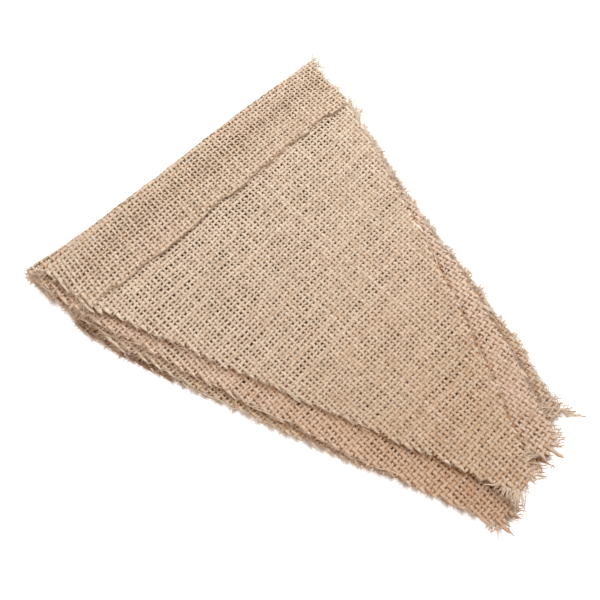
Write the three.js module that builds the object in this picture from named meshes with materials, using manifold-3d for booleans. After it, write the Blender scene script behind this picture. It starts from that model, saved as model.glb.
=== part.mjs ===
// Six burlap pennants of a bunting, laid down as a fanned stack. Millimetres, +Z up.
//
// Each pennant is one piece of coarse plain-woven cloth with raw cut edges. Its straight
// sided head is folded over to the front and sewn down just inside its raw edge, which
// leaves a flat casing for the cord. Below the head the cloth tapers to a frayed point.
//
// The stack frame has X along the top pennant's fold and Y pointing away from its tip.
// Every sheet is cut out of the same grid of triangles, so two sheets that lie on each
// other keep the same small gap everywhere, however they are turned.

import * as THREE from 'three';
import Module from 'manifold-3d';
import { mergeVertices } from 'three/addons/utils/BufferGeometryUtils.js';

const wasm = await Module();
wasm.setup();

// Cloth
const SHEET = 1.0;
const LAYER_GAP = 0.35;
const CASING_GAP = 0.4;

// Cut of one pennant
const HALF_FOLD = 101;
const HALF_SHOULDER = 95;
const HEAD_DEPTH = 34;
const CUT_LENGTH = 257;
const TIP_HALF_WIDTH = 5;

// Flap: depth of the fold-over, its uneven raw edge, and the row of stitches
const FLAP_DEPTH = 34.5;
const FLAP_WAVE = 1.4;
const FLAP_WAVE_LENGTH = 44;
const FLAP_WAVE_START = 0.4;
const SEAM_INSET = 4.5;
const SEAM_WIDTH = 1.2;
const FOLD_WIDTH = 1.6;

// Raw edges wander by this much, over these lengths
const EDGE_WANDER = 0.7;
const LONG_SHARE = 2 / 3;
const LONG_WANDER = 41;
const SHORT_WANDER = 17;
const SIDE_POINTS = 26;
const FLAP_POINTS = 18;

// Drape: how steeply cloth falls off what lies under it, and how often it is smoothed
const FALL = 0.13;
const SMOOTHING_PASSES = 3;
const OWN_WEIGHT = 4;
const SPREAD_CELLS = 5;

// A curled point begins to rise at this share of the pennant's length
const CURL_START = 0.75;

// Grid that every sheet is cut from
const CELL = 14;
const GRID = { left: -133, near: -294, columns: 19, rows: 23 };
const STRIDE = GRID.columns + 1;
const NODES = STRIDE * (GRID.rows + 1);
const CELL_DIAGONAL = CELL * Math.SQRT2;
const PRISM_FLOOR = -5;
const PRISM_HEIGHT = 60;
const WELD = 1e-4;

// One row for each pennant, the top one first. across and down place the middle of its
// fold, turn swings the whole pennant and lean its point alone, both in degrees and both
// towards -X. trim is how much narrower its left and right sides are cut, bow how far each
// bellies out between shoulder and point, and lift how far the point curls up.
const PENNANTS = [
  { across: 0, down: 0, turn: 0, lean: 0.7, length: 247, trim: [0, 4.4], bow: [-0.5, 7.5], lift: 1.6 },
  { across: -5.5, down: -1.9, turn: 1.7, lean: 1.6, length: 254, trim: [0, 0], bow: [1.2, 3.8], lift: 0.4 },
  { across: -11.7, down: -0.9, turn: 6, lean: -5, length: 247, trim: [1.5, 1.5], bow: [9.6, 9], lift: 0 },
  { across: -4.3, down: 2.5, turn: -5.2, lean: -0.6, length: 244, trim: [0, 0], bow: [2, 6.6], lift: 0.8 },
  { across: -4, down: 4, turn: 1.4, lean: -11, length: 232.5, trim: [3, 3], bow: [-0.8, -0.8], lift: 0 },
  { across: -9.7, down: 28.6, turn: 4.1, lean: -9.3, length: 214, trim: [0, 0], bow: [13.8, 2.6], lift: 0 },
];

// Two tones of undyed jute, taken in turn down the stack
const TONES = [
  { color: 0xc4ab94, roughness: 0.95 },
  { color: 0xb99f82, roughness: 0.95 },
];

const radians = THREE.MathUtils.degToRad;
const between = (value, most) => value >= 0 && value <= most;
const wave = (at, length, phase) => Math.sin((2 * Math.PI * at) / length + phase);

// Width of a pennant's cut on one side of its middle, at a distance down from its fold
function halfWidth(row, side, down) {
  const hand = side < 0 ? 0 : 1;
  const along = (down * CUT_LENGTH) / row.length;
  if (along < HEAD_DEPTH) {
    return THREE.MathUtils.mapLinear(along, 0, HEAD_DEPTH, HALF_FOLD, HALF_SHOULDER) - row.trim[hand];
  }
  const taper = Math.min(1, (along - HEAD_DEPTH) / (CUT_LENGTH - HEAD_DEPTH));
  const shoulder = HALF_SHOULDER - row.trim[hand];
  return shoulder * (1 - taper) + TIP_HALF_WIDTH * taper + 4 * row.bow[hand] * taper * (1 - taper);
}

// From a pennant's own across and down to the stack frame
function place(row, across, down) {
  const turn = radians(row.turn);
  const leaned = across - Math.tan(radians(row.lean)) * down;
  const x = Math.cos(turn) * leaned - Math.sin(turn) * down + row.across;
  const y = -(Math.sin(turn) * leaned + Math.cos(turn) * down + row.down);
  return new THREE.Vector2(x, y);
}

// From the stack frame back to a pennant's own across and down
function locate(row, x, y) {
  const turn = radians(row.turn);
  const right = x - row.across;
  const below = -y - row.down;
  const down = -Math.sin(turn) * right + Math.cos(turn) * below;
  const across = Math.cos(turn) * right + Math.sin(turn) * below + Math.tan(radians(row.lean)) * down;
  return { across, down };
}

// How far a raw side strays from its line
function wander(row, side, down) {
  const phase = row.turn + 2 * side;
  const long = wave(down, LONG_WANDER, phase);
  const short = wave(down, SHORT_WANDER, 3 * phase);
  return EDGE_WANDER * (LONG_SHARE * long + (1 - LONG_SHARE) * short);
}

// The flap's raw edge, measured down from the fold
function flapEdge(row, across) {
  return FLAP_DEPTH + FLAP_WAVE * wave(across, FLAP_WAVE_LENGTH, row.turn + FLAP_WAVE_START);
}

// Points down one side of the cut, from the fold to a depth
function sidePoints(row, side, depth, count) {
  const points = [];
  for (let step = 0; step <= count; step += 1) {
    const down = (depth * step) / count;
    const across = side * (halfWidth(row, side, down) + wander(row, side, down));
    points.push(place(row, across, down));
  }
  return points;
}

// Outline of the whole pennant, from the fold's left end round the point and back
function pennantOutline(row) {
  const left = sidePoints(row, -1, row.length, SIDE_POINTS);
  const right = sidePoints(row, 1, row.length, SIDE_POINTS);
  return [...left, ...right.reverse()];
}

// A band across the head, between two depths given as functions of the place across
function headBand(row, upper, lower) {
  const points = [];
  for (const [depth, sign] of [[upper, 1], [lower, -1]]) {
    for (let step = 0; step <= FLAP_POINTS; step += 1) {
      const share = sign * ((2 * step) / FLAP_POINTS - 1);
      const side = Math.sign(share);
      const down = depth(share * HALF_SHOULDER);
      points.push(place(row, share * (halfWidth(row, side, down) + wander(row, side, down)), down));
    }
  }
  return points;
}

// A geometry as a solid that can be cut and joined
function toSolid(geometry) {
  geometry.deleteAttribute('normal');
  geometry.deleteAttribute('uv');
  const merged = mergeVertices(geometry, WELD);
  const mesh = new wasm.Mesh({
    numProp: 3,
    vertProperties: Float32Array.from(merged.attributes.position.array),
    triVerts: Uint32Array.from(merged.index.array),
  });
  return new wasm.Manifold(mesh);
}

// An upright prism over an outline
function prism(outline) {
  const geometry = new THREE.ExtrudeGeometry(new THREE.Shape(outline), {
    depth: PRISM_HEIGHT,
    bevelEnabled: false,
  });
  geometry.translate(0, 0, PRISM_FLOOR);
  return toSolid(geometry);
}

// Both triangles of a four-sided face
const quad = (a, b, c, d) => [a, b, c, a, c, d];

// A closed sheet over the whole grid, between two tables of heights at its nodes
function gridSheet(low, high) {
  const position = [];
  for (const heights of [low, high]) {
    heights.forEach((height, node) => {
      const column = node % STRIDE;
      const row = Math.floor(node / STRIDE);
      position.push(GRID.left + column * CELL, GRID.near + row * CELL, height);
    });
  }
  const index = [];
  for (let row = 0; row < GRID.rows; row += 1) {
    for (let column = 0; column < GRID.columns; column += 1) {
      const a = row * STRIDE + column;
      const b = a + 1;
      const c = b + STRIDE;
      const d = a + STRIDE;
      index.push(...quad(NODES + a, NODES + b, NODES + c, NODES + d));
      index.push(a, c, b, a, d, c);
    }
  }
  const rim = [];
  for (let column = 0; column < GRID.columns; column += 1) rim.push(column);
  for (let row = 0; row < GRID.rows; row += 1) rim.push(row * STRIDE + GRID.columns);
  for (let column = GRID.columns; column > 0; column -= 1) rim.push(GRID.rows * STRIDE + column);
  for (let row = GRID.rows; row > 0; row -= 1) rim.push(row * STRIDE);
  rim.forEach((node, step) => {
    const next = rim[(step + 1) % rim.length];
    index.push(...quad(node, next, NODES + next, NODES + node));
  });
  const geometry = new THREE.BufferGeometry();
  geometry.setAttribute('position', new THREE.Float32BufferAttribute(position, 3));
  geometry.setIndex(index);
  return toSolid(geometry);
}

// Calls a function for every node with its place in the stack frame
function eachNode(visit) {
  for (let node = 0; node < NODES; node += 1) {
    const x = GRID.left + (node % STRIDE) * CELL;
    const y = GRID.near + Math.floor(node / STRIDE) * CELL;
    visit(node, x, y);
  }
}

// Whether a node belongs to a cell that a pennant's sheet, or its flap, can reach
function reaches(row, x, y, depth) {
  const { across, down } = locate(row, x, y);
  const nearest = THREE.MathUtils.clamp(down, 0, row.length);
  const inDepth = down > -CELL_DIAGONAL && down < depth + CELL_DIAGONAL;
  return inDepth && Math.abs(across) < halfWidth(row, across, nearest) + CELL_DIAGONAL;
}

// Heights of a cloth that lies on a table of heights: it can't fall away from any of
// them faster than FALL, and it is smoothed but never sinks into what carries it
function drape(support) {
  const draped = Float64Array.from(support);
  for (let node = 0; node < NODES; node += 1) {
    const column = node % STRIDE;
    const row = Math.floor(node / STRIDE);
    for (let up = -SPREAD_CELLS; up <= SPREAD_CELLS; up += 1) {
      for (let side = -SPREAD_CELLS; side <= SPREAD_CELLS; side += 1) {
        const inside = between(column + side, GRID.columns) && between(row + up, GRID.rows);
        const held = inside ? support[node + up * STRIDE + side] : 0;
        draped[node] = Math.max(draped[node], held - FALL * CELL * Math.hypot(up, side));
      }
    }
  }
  for (let pass = 0; pass < SMOOTHING_PASSES; pass += 1) {
    const before = Float64Array.from(draped);
    for (let row = 1; row < GRID.rows; row += 1) {
      for (let column = 1; column < GRID.columns; column += 1) {
        const node = row * STRIDE + column;
        const around = before[node - 1] + before[node + 1] + before[node - STRIDE] + before[node + STRIDE];
        draped[node] = Math.max(support[node], (OWN_WEIGHT * before[node] + around) / (OWN_WEIGHT + 4));
      }
    }
  }
  return draped;
}

// Extra height of a curled point
function curl(row, x, y) {
  const { down } = locate(row, x, y);
  return row.lift * THREE.MathUtils.smoothstep(down, CURL_START * row.length, row.length);
}

// The solid of one pennant on the heights that its cloth lies at
function pennantSolid(row, lying) {
  const bodyTop = lying.map((height) => height + SHEET);
  const flapLow = bodyTop.map((height) => height + CASING_GAP);
  const flapTop = flapLow.map((height) => height + SHEET);
  const whole = prism(pennantOutline(row));
  const flap = prism(headBand(row, () => 0, (across) => flapEdge(row, across)));
  const fold = prism(headBand(row, () => 0, () => FOLD_WIDTH));
  const seamDepth = (across) => flapEdge(row, across) - SEAM_INSET;
  const seam = prism(headBand(row, seamDepth, (across) => seamDepth(across) + SEAM_WIDTH));
  const body = gridSheet(lying, bodyTop).intersect(whole);
  const turnedOver = gridSheet(flapLow, flapTop).intersect(flap);
  const joined = gridSheet(lying, flapTop).intersect(fold.add(seam));
  return { solid: body.add(turnedOver).add(joined), bodyTop, flapTop };
}

// A solid as a named mesh
function pennantMesh(name, solid, tone) {
  const cut = solid.getMesh();
  const geometry = new THREE.BufferGeometry();
  geometry.setAttribute('position', new THREE.Float32BufferAttribute(cut.vertProperties, 3));
  geometry.setIndex(Array.from(cut.triVerts));
  geometry.computeVertexNormals();
  const mesh = new THREE.Mesh(geometry, new THREE.MeshStandardMaterial(tone));
  mesh.name = name;
  return mesh;
}

// Lays the pennants down from the bottom one, each on the heights of those below it
function buildStack() {
  const stack = new THREE.Group();
  const heights = new Float64Array(NODES);
  for (let level = PENNANTS.length - 1; level >= 0; level -= 1) {
    const row = PENNANTS[level];
    const support = heights.map((height) => (height > 0 ? height + LAYER_GAP : 0));
    const lying = drape(support);
    eachNode((node, x, y) => {
      lying[node] += curl(row, x, y);
    });
    const { solid, bodyTop, flapTop } = pennantSolid(row, lying);
    eachNode((node, x, y) => {
      if (reaches(row, x, y, row.length)) heights[node] = bodyTop[node];
      if (reaches(row, x, y, FLAP_DEPTH + FLAP_WAVE)) heights[node] = flapTop[node];
    });
    stack.add(pennantMesh(`pennant_${level + 1}`, solid, TONES[level % TONES.length]));
  }
  return stack;
}

// The origin is under the middle of the stack, on the surface that it lies on
const group = buildStack();
const middle = new THREE.Box3().setFromObject(group).getCenter(new THREE.Vector3());
for (const mesh of group.children) {
  mesh.geometry.translate(-middle.x, -middle.y, 0);
}

export default group;
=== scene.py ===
"""A fanned stack of burlap pennants: woven yarns, folded casings and raw frayed edges.

Every pennant is one cloth, worked out in its own flat coordinates: across, along the fold,
and along, which is 0 at the fold, positive down the body and negative over the flap. Sizes
are in millimetres and turned into metres only where a mesh is filled.

A Pennant gives the shape, a Weaving its warps or its wefts, and a Fringe its loose fibres.
All three take their random draws from the pennant's one generator, in a fixed order.
"""

import logging
import math
from dataclasses import dataclass
from enum import Enum
from typing import Any, Optional, Sequence

import bpy
import numpy as np
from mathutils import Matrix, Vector
from mathutils.bvhtree import BVHTree


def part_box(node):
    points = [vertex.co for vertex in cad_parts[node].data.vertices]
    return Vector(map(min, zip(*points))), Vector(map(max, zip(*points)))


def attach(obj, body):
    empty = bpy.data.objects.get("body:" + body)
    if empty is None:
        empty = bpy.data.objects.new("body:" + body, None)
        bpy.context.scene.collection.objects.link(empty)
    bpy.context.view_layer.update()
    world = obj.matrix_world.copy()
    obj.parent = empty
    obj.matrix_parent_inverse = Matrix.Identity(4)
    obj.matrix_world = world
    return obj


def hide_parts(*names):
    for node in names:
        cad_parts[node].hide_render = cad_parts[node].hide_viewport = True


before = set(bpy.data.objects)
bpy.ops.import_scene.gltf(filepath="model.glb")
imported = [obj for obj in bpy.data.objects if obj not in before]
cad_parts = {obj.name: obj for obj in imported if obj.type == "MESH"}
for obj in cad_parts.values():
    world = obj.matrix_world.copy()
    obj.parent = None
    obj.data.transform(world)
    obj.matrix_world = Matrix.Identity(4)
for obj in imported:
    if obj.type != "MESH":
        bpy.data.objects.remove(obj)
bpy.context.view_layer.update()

MM = 0.001
# Nothing comes closer to the floor than this, in mm
FLOOR_GAP = 0.02
LOG = logging.getLogger("bunting")
Array = np.ndarray
Colour = tuple[float, float, float, float]
Place = tuple[float, float, float]
UP = np.array([0.0, 0.0, 1.0])


class Grain(Enum):
    """The two sets of yarns in a plain weave."""

    WARP = "warp"
    WEFT = "weft"


@dataclass(frozen=True)
class Yarn:
    """One set of yarns, in mm: its pitch in the cloth, its flattened section and its swing.

    crimp is how far it swings to either side of the cloth, and shade how much paler it is painted, which for
    the warps is painted light that evens out the shade on their flanks.
    """

    pitch: float
    width: float
    thickness: float
    crimp: float
    shade: float


@dataclass(frozen=True)
class Cloth:
    """The burlap that every pennant is cut from. Lengths in mm, angles in degrees.

    The weave is turned by grain_tilt, and strays and drifts off a true grid. Shares of a
    yarn's width: slub is how uneven it is and uneven the part of that from yarn to yarn,
    edge_swell and lip_swell thicken it near raw edges, the fold and the flap's lip,
    open_band and open_body thin it in a band along the flap and on the upper body, and
    close_low thickens it towards the low right.
    """

    warp: Yarn = Yarn(pitch=2.54, width=1.66, thickness=0.60, crimp=0.33, shade=0.05)
    weft: Yarn = Yarn(pitch=2.16, width=1.63, thickness=0.64, crimp=0.20, shade=0.0)
    sheet: float = 1.0
    clearance: float = 0.5
    grain_tilt: float = 2.6
    crest: float = 1.25
    stray: float = 0.15
    drift: float = 0.5
    flap_stretch: float = 0.11
    slub: float = 0.21
    uneven: float = 0.5
    thinnest: float = 0.66
    thickest: float = 1.4
    edge_swell: float = 0.26
    edge_reach: float = 5.0
    lip_swell: float = 0.26
    lip_reach: float = 9.0
    open_band: float = 0.18
    band_middle: float = 15.0
    band_spread: float = 6.0
    open_body: float = 0.06
    body_middle: tuple[float, float] = (-15.0, 75.0)
    body_spread: float = 60.0
    close_low: float = 0.13
    low_from: float = 50.0
    low_run: float = 110.0

    def band(self, along: Array) -> Array:
        """1 in the middle of the flap's open band, falling off as a bell curve."""
        return np.exp(-(((along + self.band_middle) / self.band_spread) ** 2))


@dataclass(frozen=True)
class Tones:
    """How much paler or browner yarns are by place: 1 is the palest tone, 0 the brownest.

    They are browner by flap and band on the flap and its open band, and by low further down, a painted shade
    for the light that falls off towards the point. Painted shade makes them browner by contact under the
    pennants above and within contact_shade_reach of them, by left within left_shade_reach of their left
    edges, and by fold within fold_shade_reach of their folds. They are paler by edge near a raw edge, and by
    crest at the fold, where crest is a painted highlight. Tones differ by between from yarn to yarn and by
    along within one. A brown lay's shade is painted shade, and it sets in below its fold.
    in below its fold.
    """

    middle: float = 0.5
    flap: float = 0.09
    band: float = 0.09
    # Painted shade for the light falling off towards the point
    low: float = 0.28
    low_from: float = 60.0
    low_run: float = 170.0
    # Painted shade under and beside the pennants above, by their sides, left edges and folds
    painted_contact_shade: float = 0.72
    contact_shade_reach: float = 4.0
    left: float = 0.3
    left_shade_reach: float = 2.2
    fold: float = 1.1
    fold_shade_reach: float = 2.4
    edge: float = 0.3
    edge_reach: float = 3.0
    # A painted highlight along the fold's crest
    crest: float = 0.16
    crest_highlight_reach: float = 2.2
    between: float = 0.045
    along: float = 0.08
    lay_from: float = 10.0
    lay_run: float = 40.0


@dataclass(frozen=True)
class YarnEnd:
    """How yarns end at a raw edge. Lengths in mm, the rest shares of a length.

    Past the cut a yarn loses its swing, splays and sags, and at the point it fans out as
    well. It thins to the share thin over its last thin_run, and to tip at its last ring.
    """

    ravel_side: float = 0.5
    draw_in: float = 0.7
    ravel_point: float = 2.4
    longest_ravel: float = 7.0
    short_point: float = 1.0
    bare_point: float = 3.0
    point_jitter: float = 1.2
    flap_jitter: float = 0.5
    loose_run: float = 2.0
    loose_start: float = 0.2
    splay: float = 0.35
    fan: float = 0.16
    fan_out: float = 0.035
    sag: float = 0.25
    point_sag: float = 0.08
    thin: float = 0.35
    thin_run: float = 1.6
    point_run: float = 2.5
    tip: float = 0.45
    raw_side: float = 4.0
    raw_point: float = 12.0


@dataclass(frozen=True)
class Fray:
    """Fine fibres at a raw yarn end. Lengths in mm, the rest shares of a fibre's length.

    Of a pair, the first is for the sides and the second for the point. evenness is the
    shape of the gamma distribution of lengths, which are more alike the higher it is.
    """

    evenness: float = 2.0
    inside: float = 1.2
    point_zone: float = 6.0
    point_scale: float = 1.5
    point_reach: float = 2.0
    spread: tuple[float, float] = (0.4, 0.5)
    curl: tuple[float, float] = (0.5, 0.8)
    curl_share: float = 0.6
    lift: float = 0.12
    offset: float = 0.8
    lowest: float = 0.25
    thinnest: float = 0.12
    thickest: float = 0.30
    taper: tuple[float, ...] = (1.0, 0.95, 0.8, 0.6, 0.25)
    paler: float = 0.08


@dataclass(frozen=True)
class Hair:
    """Loose hairs on the cloth. Lengths in mm, angles in radians.

    evenness and lift_evenness are how alike their lengths and their heights are.
    """

    evenness: float = 3.0
    lift_evenness: float = 2.0
    swing: float = 0.9
    shortest: float = 1.0
    reach: float = 1.1
    height: float = 0.25
    curl: float = 0.3
    above: float = 0.3
    thinnest: float = 0.10
    thickest: float = 0.18
    taper: tuple[float, ...] = (0.6, 1.0, 0.9, 0.3)
    paler: float = 0.15


@dataclass(frozen=True)
class Wisp:
    """What the fibres of all tufts share. Lengths in mm, the rest shares of a length.

    evenness is how alike their lengths are, and topmost how near the fold they start.
    """

    rings: int = 8
    evenness: float = 6.0
    topmost: float = 0.2
    jitter: float = 1.6
    inside: float = 1.6
    longest: float = 1.5
    slant: float = 0.5
    most_slant: float = 1.3
    curl: float = 0.5
    most_curl: float = 0.7
    wave_rate: float = 6.0
    wave_part: float = 5.0
    lift: float = 0.35
    droop: float = 0.25
    lowest: float = 0.3
    size: tuple[float, float] = (0.6, 1.35)
    thinning: float = 0.75
    tone: tuple[float, float] = (0.3, 0.8)


@dataclass(frozen=True)
class LooseThread:
    """Stray threads along the raw sides, in mm. A wave is its height and its rate."""

    rings: int = 13
    left_share: float = 0.6
    length: tuple[float, float] = (9.0, 30.0)
    from_point: float = 6.0
    inset: tuple[float, float] = (-0.6, 1.6)
    long_wave: tuple[float, float] = (0.7, 5.0)
    short_wave: tuple[float, float] = (0.35, 13.0)
    above: float = 0.55
    arch: float = 0.7
    size: tuple[float, float] = (0.22, 0.42)
    thinning: float = 0.7
    tone: tuple[float, float] = (0.6, 1.0)


@dataclass(frozen=True)
class Cut:
    """The shape that every pennant is cut to, in mm, before it is folded.

    A raw side wanders by two waves, and the flap's edge ripples by two more, each given
    as its height and its length.
    """

    half_fold: float = 101.0
    half_shoulder: float = 95.0
    head_depth: float = 34.0
    length: float = 257.0
    tip_half_width: float = 5.0
    flap: float = 34.3
    tuck: float = 4.5
    corner_in: float = 0.36
    nip_depth: float = 18.0
    wander: float = 0.7
    long_wander: float = 41.0
    short_wander: float = 17.0
    ripples: tuple[tuple[float, float], ...] = ((0.45, 26.0), (0.3, 9.5))


@dataclass(frozen=True)
class Lip:
    """One swell of the flap's edge: where it is along the fold, and how it stands out."""

    across: float
    spread: float
    forward: float
    puff: float


@dataclass(frozen=True)
class Tuft:
    """A bunch of loose fibres on a raw side: the side, and how far down it is.

    reach and size are a fibre's length and diameter, and slant how far it leans down the
    pennant as a share of its length.
    """

    side: int
    down: float
    fibres: int
    reach: float
    slant: float = 0.1
    size: float = 0.4


@dataclass(frozen=True)
class Lay:
    """How one pennant lies in the stack. Lengths in mm, angles in degrees towards -X.

    Of each side, left and right, trim is how much narrower it is cut, bow how far it bellies out, sway how
    far it swings in above and out below, and nip how far its folded corner is drawn in. crown is how far the
    fold arches, full how thick the yarns are, and shade how much paler or browner they are painted than the
    rest: painted shade on the low pennants that lie in shadow, and painted light on those that catch more of
    it. fuzz is the length of its side fibres and shag the share of the side yarns that have them.
    """

    name: str
    slot: str
    across: float
    down: float
    turn: float
    lean: float
    length: float
    seed: int
    trim: tuple[float, float] = (0.0, 0.0)
    bow: tuple[float, float] = (0.0, 0.0)
    sway: tuple[float, float] = (0.0, 0.0)
    nip: tuple[float, float] = (0.0, 0.0)
    crown: float = 0.0
    fuzz: float = 0.8
    shag: float = 1.0
    full: float = 1.0
    shade: float = 0.0
    sides: int = 5
    hairs: int = 300
    fibres: int = 5
    strays: int = 34
    tufts: tuple[Tuft, ...] = ()


# Each row is a tuft's side, its place down, its fibres, their reach, slant and size
TOP_TUFTS = (
    Tuft(1, 0.5, 16, 4.8, -0.9, 0.45),
    Tuft(1, 5, 14, 5.8, -0.2, 0.4),
    Tuft(1, 24, 16, 3.8, -0.4),
    Tuft(1, 39, 16, 4.2, -0.7, 0.55),
    Tuft(1, 48, 30, 6.4, -0.8, 0.6),
    Tuft(1, 57, 16, 4.4, -0.3, 0.5),
    Tuft(1, 68, 18, 4.0),
    Tuft(1, 82, 14, 3.4, 0.3),
    Tuft(1, 99, 12, 3.0, 0.3),
    Tuft(1, 236, 20, 3.6, 0.3, 0.6),
    Tuft(1, 243, 22, 3.6, 0.6, 0.7),
    Tuft(-1, 238, 14, 2.8, 0.9, 0.7),
    Tuft(-1, 243, 20, 3.4, 0.9, 0.8),
    Tuft(-1, 0.5, 24, 4.0, -0.6, 0.55),
    Tuft(-1, 30, 14, 2.8),
)

SECOND_TUFTS = (
    Tuft(-1, 1, 22, 3.4, -0.4, 0.5),
    Tuft(-1, 250, 16, 2.2, 0.6, 0.7),
    Tuft(1, 251, 22, 2.6, 0.6, 0.8),
)

FOURTH_TUFTS = (
    Tuft(1, 66, 14, 3.6, -0.6, 0.5),
    Tuft(1, 77, 12, 3.0, -0.5, 0.5),
    Tuft(1, 86, 16, 3.8, -0.7, 0.5),
    Tuft(1, 98, 12, 3.2, -0.4, 0.5),
    Tuft(1, 109, 16, 3.6, -0.6, 0.5),
    Tuft(1, 121, 12, 2.8, -0.3, 0.5),
    Tuft(1, 228, 12, 3.4, 0.5, 0.65),
    Tuft(1, 240, 18, 3.4, 0.8, 0.75),
)

FIFTH_TUFTS = (
    Tuft(1, 118, 14, 3.0, -0.5, 0.5),
    Tuft(1, 133, 16, 3.6, -0.4, 0.5),
    Tuft(1, 147, 14, 3.0, -0.2, 0.5),
    Tuft(1, 160, 16, 3.8, -0.3, 0.5),
    Tuft(1, 176, 12, 3.0, 0.0, 0.5),
    Tuft(1, 190, 14, 3.2, 0.2, 0.5),
    Tuft(1, 224, 12, 2.4, 0.6, 0.6),
    Tuft(1, 231, 22, 4.0, 1.0, 0.65),
)

# Negative shades are painted shade on the low pennants, positive ones painted light
LAYS = (
    Lay(
        "pennant_1", "burlap_pale", 0, 0, 0, 0.7, 247, seed=11, trim=(0, 4.4), bow=(-0.5, 7.5),
        crown=2.4, fuzz=0.45, shag=0.35, sides=6, hairs=2200, fibres=8, strays=10, tufts=TOP_TUFTS,
    ),
    Lay(
        "pennant_2", "burlap_honey", -5.5, -1.9, 1.7, 1.6, 254, seed=22, bow=(1.2, 3.8),
        crown=2.0, fuzz=0.6, shag=0.6, full=1.13, shade=0.04, tufts=SECOND_TUFTS,
    ),
    Lay(
        "pennant_3", "burlap_pale", -11.7, -0.9, 6, -5, 247, seed=33, trim=(1.5, 1.5), bow=(9.6, 9),
        nip=(2.5, 0), shade=-0.14,
    ),
    Lay(
        "pennant_4", "burlap_honey", -4.3, 2.5, -5.2, -0.6, 244, seed=44, bow=(2, 6.2),
        sway=(0, 1.8), fuzz=1.0, full=1.22, shade=0.24, tufts=FOURTH_TUFTS,
    ),
    Lay(
        "pennant_5", "burlap_pale", -4, 4, 1.4, -11, 232.5, seed=55, trim=(3, 3), bow=(-0.8, -0.2),
        sway=(0, 2.0), fuzz=1.1, full=1.14, shade=0.05, tufts=FIFTH_TUFTS,
    ),
    Lay(
        "pennant_6", "burlap_honey", -9.7, 28.6, 4.1, -9.3, 214, seed=66, bow=(13.8, 2.6),
        nip=(9, 0), full=1.14, shade=-0.7,
    ),
)

LIPS = (
    Lip(across=-84, spread=9, forward=-1.2, puff=0.0),
    Lip(across=-34, spread=15, forward=2.4, puff=0.7),
    Lip(across=9, spread=9, forward=1.8, puff=0.8),
    Lip(across=24, spread=8, forward=0.2, puff=0.3),
    Lip(across=54, spread=9, forward=0.4, puff=0.4),
    Lip(across=80, spread=6, forward=2.0, puff=0.5),
)


# The smooth drift of the weave: turns of each wave in radians for a mm across and along
DRIFT_WAVES = ((0.031, 0.022), (-0.047, 0.052), (0.083, -0.061), (0.11, 0.13))

# How many radians a yarn's uneven waves turn between two crossings, from slow to fast
WAVER_RATES = ((0.15, 0.4), (0.4, 0.9), (0.9, 1.6), (1.6, 2.6))


def smooth_step(t: Array) -> Array:
    """0 below 0, 1 above 1, and 3t^2 - 2t^3 between."""
    t = np.clip(t, 0.0, 1.0)
    return t * t * (3.0 - 2.0 * t)


def unit(v: Array) -> Array:
    """Vectors in the last axis, each scaled to length 1."""
    return v / np.maximum(np.linalg.norm(v, axis=-1, keepdims=True), 1e-12)


class Lie:
    """The height at which a cloth's underside lies, read off its CAD node.

    Rays shot upwards on a square grid find the underside. The heights are then blurred by
    normalised convolution, which is the blurred heights over the blurred mask of hits, so
    that the surface is smooth and carries on a little past the node's edge.
    """

    def __init__(
        self, node: str, pitch: float = 3.0, margin: float = 18.0, blur: float = 5.0
    ) -> None:
        """Shoots the rays and blurs what they find.

        Args:
            node: the CAD node's name.
            pitch: the grid's pitch in mm.
            margin: how far the grid reaches past the node's box, in mm.
            blur: the blur's standard deviation in mm.
        """
        low, high = (np.array(corner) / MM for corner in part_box(node))
        self.pitch = pitch
        self.origin = low[:2] - margin
        counts = np.ceil((high[:2] - low[:2] + 2 * margin) / pitch).astype(int) + 1
        x = self.origin[0] + pitch * np.arange(counts[0])
        y = self.origin[1] + pitch * np.arange(counts[1])
        found = self._shoot(node, x, y)
        hit = np.isfinite(found)
        weight = self._blur(hit.astype(float), blur / pitch)
        total = self._blur(np.where(hit, found, 0.0), blur / pitch)
        self.grid = total / np.maximum(weight, 1e-9)

    @staticmethod
    def _shoot(node: str, x: Array, y: Array) -> Array:
        """Height of the node's underside at every grid point, NaN where there is none.

        Args:
            node: the CAD node's name.
            x: the grid's lines along X, in mm.
            y: its lines along Y, in mm.

        Returns:
            Heights in mm, a row for each x.
        """
        tree = BVHTree.FromObject(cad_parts[node], bpy.context.evaluated_depsgraph_get())
        up = Vector((0.0, 0.0, 1.0))
        # The rays start this far below the floor, in metres
        start = -0.05

        def height(px: float, py: float) -> float:
            """Height at one place in mm."""
            place = tree.ray_cast(Vector((px * MM, py * MM, start)), up)[0]
            return math.nan if place is None else place.z / MM

        return np.vectorize(height, otypes=[float])(x[:, None], y[None, :])

    @staticmethod
    def _blur(values: Array, sigma: float) -> Array:
        """Gaussian blur, one axis after the other, cut off at four standard deviations.

        Args:
            values: heights or a mask on the grid.
            sigma: standard deviation in cells.

        Returns:
            The blurred grid.
        """
        reach = int(4 * sigma) + 1
        kernel = np.exp(-0.5 * (np.arange(-reach, reach + 1) / sigma) ** 2)
        kernel /= kernel.sum()
        for axis in (0, 1):
            values = np.apply_along_axis(np.convolve, axis, values, kernel, mode="same")
        return values

    def height(self, x: Array, y: Array) -> Array:
        """Underside's height in mm at places in mm, by linear interpolation on the grid.

        Args:
            x: places in mm.
            y: the same, along Y.

        Returns:
            Heights of the same shape.
        """
        # Just short of the last line, so that every place has a line past it
        u = np.clip((x - self.origin[0]) / self.pitch, 0, self.grid.shape[0] - 1.001)
        v = np.clip((y - self.origin[1]) / self.pitch, 0, self.grid.shape[1] - 1.001)
        i, j = u.astype(int), v.astype(int)
        fu, fv = u - i, v - j
        near = self.grid[i, j] * (1 - fu) + self.grid[i + 1, j] * fu
        far = self.grid[i, j + 1] * (1 - fu) + self.grid[i + 1, j + 1] * fu
        return near * (1 - fv) + far * fv


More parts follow.
